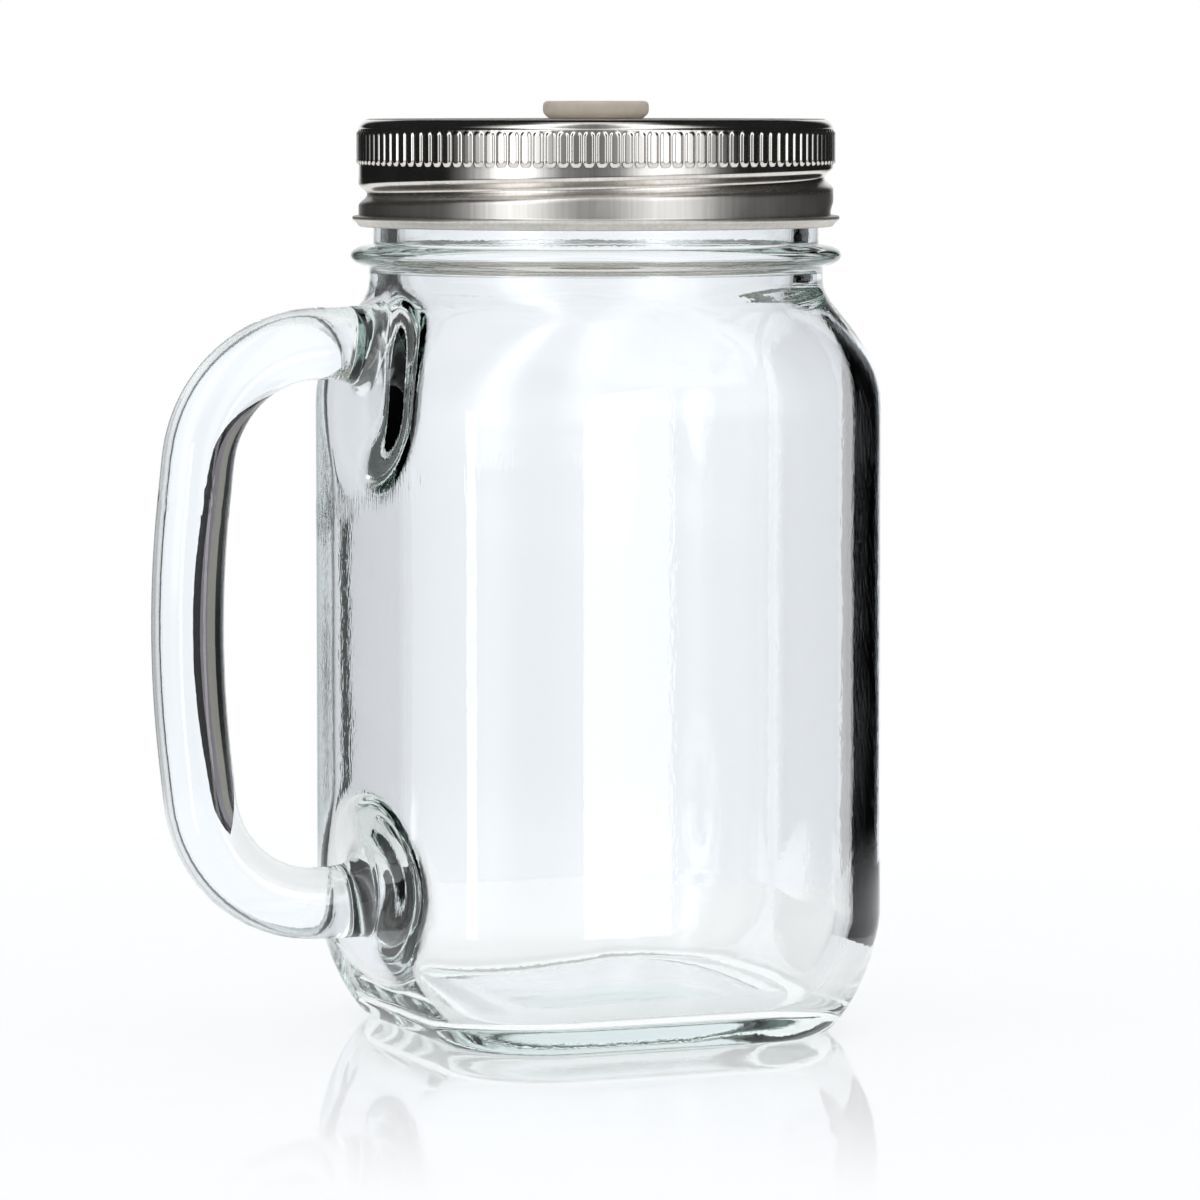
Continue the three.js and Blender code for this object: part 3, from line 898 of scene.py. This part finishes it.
glass = jar_glass(glass_material())
cap = lid_cap(steel_material())
seal_skin = rubber_material("seal_rubber", (0.82, 0.81, 0.77), (0.88, 0.87, 0.84), 0.6, 0.1)
silicone_skin = rubber_material("silicone", (0.64, 0.565, 0.475), (0.72, 0.645, 0.55), 0.4, 0.3)
seal = turned("lid_seal", seal_profile(), SEAL_COLUMNS, seal_skin)
grommet = turned("grommet", grommet_profile(), GROMMET_COLUMNS, silicone_skin)
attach(glass, "jar")
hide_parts("jar_body", "handle")
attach(cap, "lid")
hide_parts("lid_shell")
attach(seal, "seal")
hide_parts("lid_gasket")
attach(grommet, "lid")
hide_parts("straw_grommet")

# Camera, as fitted to the photograph, in metres and radians
CAMERA_DISTANCE = 0.94126
CAMERA_HEIGHT = 0.14104
CAMERA_TURN = 0.39187  # round the jar from its front, towards the handle
CAMERA_PAN = 0.00066
CAMERA_TILT = 0.081
CAMERA_END = 20
SENSOR = 36.0
FOCAL_PIXELS = 6217.8
PHOTO_PIXELS = 1200
camera_data = bpy.data.cameras.new("camera")
camera_data.sensor_width = SENSOR
camera_data.lens = SENSOR * FOCAL_PIXELS / PHOTO_PIXELS
camera_data.clip_end = CAMERA_END
camera = bpy.data.objects.new("camera", camera_data)
camera.location = (
    -CAMERA_DISTANCE * math.sin(CAMERA_TURN),
    -CAMERA_DISTANCE * math.cos(CAMERA_TURN),
    CAMERA_HEIGHT,
)
camera.rotation_euler = (math.pi / 2 - CAMERA_TILT, 0, -(CAMERA_TURN + CAMERA_PAN))
scene.collection.objects.link(camera)
scene.camera = camera

# Floor, in metres
FLOOR_RADIUS = 0.3
FLOOR_CLEAR = 0.15  # where it starts to clear towards its edge
FLOOR_PAINT = (0.88, 0.88, 0.88, 1)
FLOOR_GLOW = 0.32
MIRROR_SPAN = (0.03, 0.17)  # where the mirror goes out
MIRROR_SHARE = 0.9
MIRROR_ROUGHNESS = 0.04


def floor_material():
    """White floor: a faint mirror close to the jar, and clear towards its edge, where the world shows."""
    material, tree = new_material("pale_floor")
    link = tree.links.new
    length = node(tree, "ShaderNodeVectorMath", operation="LENGTH")
    link(object_coords(tree), length.inputs[0])
    away = length.outputs["Value"]
    paint = node(tree, "ShaderNodeBsdfDiffuse", Color=FLOOR_PAINT)
    glow = node(tree, "ShaderNodeEmission", Color=(1, 1, 1, 1), Strength=FLOOR_GLOW)
    white = node(tree, "ShaderNodeAddShader")
    link(paint.outputs[0], white.inputs[0])
    link(glow.outputs[0], white.inputs[1])
    mirror = node(tree, "ShaderNodeBsdfGlossy", Color=(1, 1, 1, 1), Roughness=MIRROR_ROUGHNESS)
    near = remap(tree, away, MIRROR_SPAN, (MIRROR_SHARE, 0), soft=True)
    grazing = node(tree, "ShaderNodeFresnel", IOR=1.4)
    shiny = blend(tree, calc(tree, "MULTIPLY", near, grazing.outputs[0]), white, mirror)
    clear = node(tree, "ShaderNodeBsdfTransparent", Color=(1, 1, 1, 1))
    far = remap(tree, away, (FLOOR_CLEAR, FLOOR_RADIUS), soft=True)
    to_output(tree, blend(tree, far, shiny, clear))
    return material


def floor_piece():
    mesh = bpy.data.meshes.new("floor")
    ring = [(FLOOR_RADIUS * math.cos(a), FLOOR_RADIUS * math.sin(a), 0) for a in circle(FLOOR_SIDES)]
    mesh.from_pydata(ring, [], [list(range(FLOOR_SIDES))])
    floor = placed("floor", mesh, floor_material())


# Cards round the jar, which the camera doesn't see
CARD_WHITE = (0.965, 0.995, 1.045)
FAR = 167  # behind the axis, in millimetres
NEAR = 70
BESIDE = -4
UNMIRRORED = 0.5  # limits between whole counts of faces that light has met
ONE_ROD = 2.5


def card(name, start, end, low, high, colour, rays="transmission", rise=0, shown=None):
    """A card from one point to another, each so many millimetres right of the jar's axis and behind it.

    It stands from low to high, and its far end may rise higher. Light of one kind sees it, through the
    glass or mirrored ("glossy"), and shown can limit that further.
    """
    side = np.array([math.cos(CAMERA_TURN), -math.sin(CAMERA_TURN)])
    behind = np.array([math.sin(CAMERA_TURN), math.cos(CAMERA_TURN)])
    corners = []
    for (across, depth), z in ((start, low), (end, low), (end, high + rise), (start, high)):
        x, y = across * side + depth * behind
        corners.append((x * MM, y * MM, z * MM))
    mesh = bpy.data.meshes.new(name)
    mesh.from_pydata(corners, [], [(0, 1, 2, 3)])
    material, tree = new_material(name)
    surface = node(tree, "ShaderNodeEmission", Color=(*colour, 1), Strength=1.0)
    if shown:
        surface = blend(tree, shown(tree), node(tree, "ShaderNodeBsdfTransparent"), surface)
    to_output(tree, surface)
    piece = placed(name, mesh, material)
    piece.visible_camera = False
    piece.visible_glossy = rays == "glossy"
    piece.visible_transmission = rays == "transmission"
    piece.visible_diffuse = False
    piece.visible_shadow = False
    piece.visible_volume_scatter = False


def light_path(tree, output):
    return node(tree, "ShaderNodeLightPath").outputs[output]


def in_sharp_mirror(tree):
    """1 for a reflection in smooth glass, and 0 in the satin steel and on the floor."""
    return light_path(tree, "Is Singular Ray")


def mirrored_inside(tree):
    """1 for light that has been reflected inside the glass on its way, and 0 straight through."""
    return calc(tree, "GREATER_THAN", light_path(tree, "Glossy Depth"), UNMIRRORED)


def through_one_rod(tree):
    """1 for light that has come through one piece of glass only, and 0 through the two walls of the jar."""
    return calc(tree, "LESS_THAN", light_path(tree, "Transmission Depth"), ONE_ROD)


def through_two_walls(tree):
    """1 for light that has come through more than one piece of glass."""
    return calc(tree, "GREATER_THAN", light_path(tree, "Transmission Depth"), ONE_ROD)


def grey(level):
    return (level, level, level)


def cards():
    """Dark and bright cards that give the glass its bands and lights."""
    card("far_dark", (-260, FAR), (-95, FAR), 0, 300, grey(0.03), shown=mirrored_inside)
    card("far_white", (-95, FAR), (122, FAR), 0, 360, CARD_WHITE)
    card("far_grey", (122, FAR), (214, FAR), 0, 360, grey(0.6))
    card("far_black", (214, FAR), (600, FAR), 0, 300, grey(0), shown=mirrored_inside)
    card("near_dim", (-190, NEAR - 1), (-66, NEAR - 1), 0, 140, grey(0.08), shown=mirrored_inside)
    card("near_white", (-100, NEAR), (-66, NEAR), 0, 230, CARD_WHITE)
    card("near_black", (-66, NEAR), (-47, NEAR), 0, 110, grey(0.02), shown=mirrored_inside)
    card("near_right", (66, NEAR), (190, NEAR), 0, 140, grey(0), shown=mirrored_inside)
    card("flag_left", (-44, 38.7), (-40.6, 36), 24, 88, (0.07, 0.08, 0.08), shown=through_two_walls)
    card("low_dim", (-90, -10), (-50, 50), 0, 34, grey(0.05), shown=mirrored_inside)
    card("low_right", (50, 50), (85, -10), 0, 20, grey(0), shown=mirrored_inside)
    # Dark bands in the handle, from the jar's side outwards
    for name, left, right, colour in (
        ("handle_near", -65, -63, (0.015, 0.015, 0.017)),
        ("handle_mauve", -67.5, -65, (0.2, 0.185, 0.215)),
        ("handle_beige", -73, -67.5, (0.25, 0.245, 0.225)),
        ("handle_far", -110, -73, grey(0.01)),
    ):
        card(name, (left, BESIDE), (right, BESIDE), 26, 125, colour, shown=through_one_rod)
    # Light edge on the right, and soft lights in the front face and its left corner
    mirror = {"rays": "glossy", "shown": in_sharp_mirror}
    card("edge_light", (40, 45), (62, 45), 0, 116, grey(0.95), **mirror)
    card("front_light", (47, -108), (73, -97), 2, 100, grey(3.4), rise=13, **mirror)
    card("corner_light", (-85, -85), (-76, -95), 3, 101, grey(3.6), **mirror)


# Brightness of the studio round the jar: degrees from straight behind it, turning to the right, and a level
STUDIO = [
    (-180, 0.2), (-164, 0.3), (-154, 1.1), (-147, 2.4), (-134, 2.4), (-127, 1.0), (-114, 0.2), (-104, 0.01),
    (108, 0.01), (118, 0.2), (130, 1.2), (146, 1.9), (158, 1.5), (168, 0.4), (180, 0.2),
]
# Colours of the world, and heights in it as sines of the angle over the horizon
LAMP_TINT = (0.95, 0.98, 1.02)
LAMP_SPAN = (-0.08, -0.01)
LAMP_FOOT = 0.3  # share of the lamps' light under that span
ROOM = (0.13, 0.14, 0.14)
BEHIND_GLASS = (0.8, 0.82, 0.83)
CEILING = (0.85, 0.85, 0.86)
CEILING_SPAN = (0.95, 1.0)
CEILING_SLOPE = 0.1
GROUND = (0.95, 0.95, 0.95)
GROUND_SPAN = (-0.15, -0.3)
PLAIN_LIGHT = (0.95, 0.97, 1.0, 1)
PLAIN_LEVEL = 0.8
REAR_SPAN = (22 / 360, 8 / 360)  # shares of a turn from straight behind the jar
REAR_TOP = 0.4


def studio_colour(tree, path, share, behind, up):
    """What mirrored light, and light through the glass, sees round the jar."""
    # The lamps stand at the lid's height and are weaker further down
    stops = [(0.5 + degrees / 360, [part * level for part in LAMP_TINT]) for degrees, level in STUDIO]
    lamps = node(tree, "ShaderNodeVectorMath", operation="SCALE")
    tree.links.new(ramp(tree, share, stops), lamps.inputs[0])
    tree.links.new(remap(tree, up, LAMP_SPAN, (LAMP_FOOT, 1), soft=True), lamps.inputs["Scale"])
    # Through the glass the room is dim, or near-white for light that no face has mirrored
    through = path.outputs["Is Transmission Ray"]
    room = lay_over(tree, through, lamps.outputs[0], ROOM, "LIGHTEN")
    unmirrored = calc(tree, "LESS_THAN", path.outputs["Glossy Depth"], UNMIRRORED)
    straight = calc(tree, "MULTIPLY", unmirrored, through)
    room = lay_over(tree, straight, room, BEHIND_GLASS, "LIGHTEN")
    # Reflections see a white ceiling, also low behind the jar, and a white ground
    slope = calc(tree, "MULTIPLY_ADD", up, CEILING_SLOPE, behind)
    high = remap(tree, calc(tree, "MAXIMUM", up, slope), CEILING_SPAN, soft=True)
    ceiling = calc(tree, "MULTIPLY", high, path.outputs["Is Glossy Ray"])
    sky = lay_over(tree, ceiling, room, CEILING)
    return lay_over(tree, remap(tree, up, GROUND_SPAN, soft=True), sky, GROUND)


def rear_window(tree, path, share, up):
    """1 where a reflection looks straight behind the jar, at the white background that the camera sees."""
    apart = calc(tree, "ABSOLUTE", calc(tree, "SUBTRACT", share, 0.5))
    rear = remap(tree, apart, REAR_SPAN, soft=True)
    low = calc(tree, "MULTIPLY", rear, calc(tree, "LESS_THAN", up, REAR_TOP))
    return calc(tree, "MULTIPLY", low, path.outputs["Is Glossy Ray"])


def world_light():
    """White for the camera, a studio for what glass and steel show, and a plain light for the rest."""
    world = bpy.data.worlds.new("studio")
    scene.world = world
    world.use_nodes = True
    tree = world.node_tree
    tree.nodes.clear()
    link = tree.links.new
    path = node(tree, "ShaderNodeLightPath")
    coords = node(tree, "ShaderNodeTexCoord")
    turn = node(tree, "ShaderNodeVectorRotate", rotation_type="Z_AXIS", Angle=CAMERA_TURN)
    link(coords.outputs["Generated"], turn.inputs["Vector"])
    side, behind, up = split(tree, turn.outputs[0])
    azimuth = calc(tree, "ARCTAN2", side, behind)
    share = calc(tree, "MULTIPLY_ADD", azimuth, 1 / FULL_TURN, 0.5)
    studio = node(tree, "ShaderNodeBackground", Strength=1.0)
    link(studio_colour(tree, path, share, behind, up), studio.inputs["Color"])
    plain = node(tree, "ShaderNodeBackground", Color=PLAIN_LIGHT, Strength=PLAIN_LEVEL)
    white = node(tree, "ShaderNodeBackground", Color=(1, 1, 1, 1), Strength=1.0)
    seen = calc(tree, "MAXIMUM", path.outputs["Is Glossy Ray"], path.outputs["Is Transmission Ray"])
    window = rear_window(tree, path, share, up)
    open_view = calc(tree, "MAXIMUM", window, path.outputs["Is Camera Ray"])
    surface = blend(tree, open_view, blend(tree, seen, plain, studio), white)
    to_output(tree, surface, "ShaderNodeOutputWorld")


floor_piece()
cards()
world_light()
scene.view_settings.view_transform = "Standard"
# Light runs along inside the glass walls over many reflections
scene.cycles.max_bounces = 32
scene.cycles.glossy_bounces = 24
scene.cycles.transmission_bounces = 32
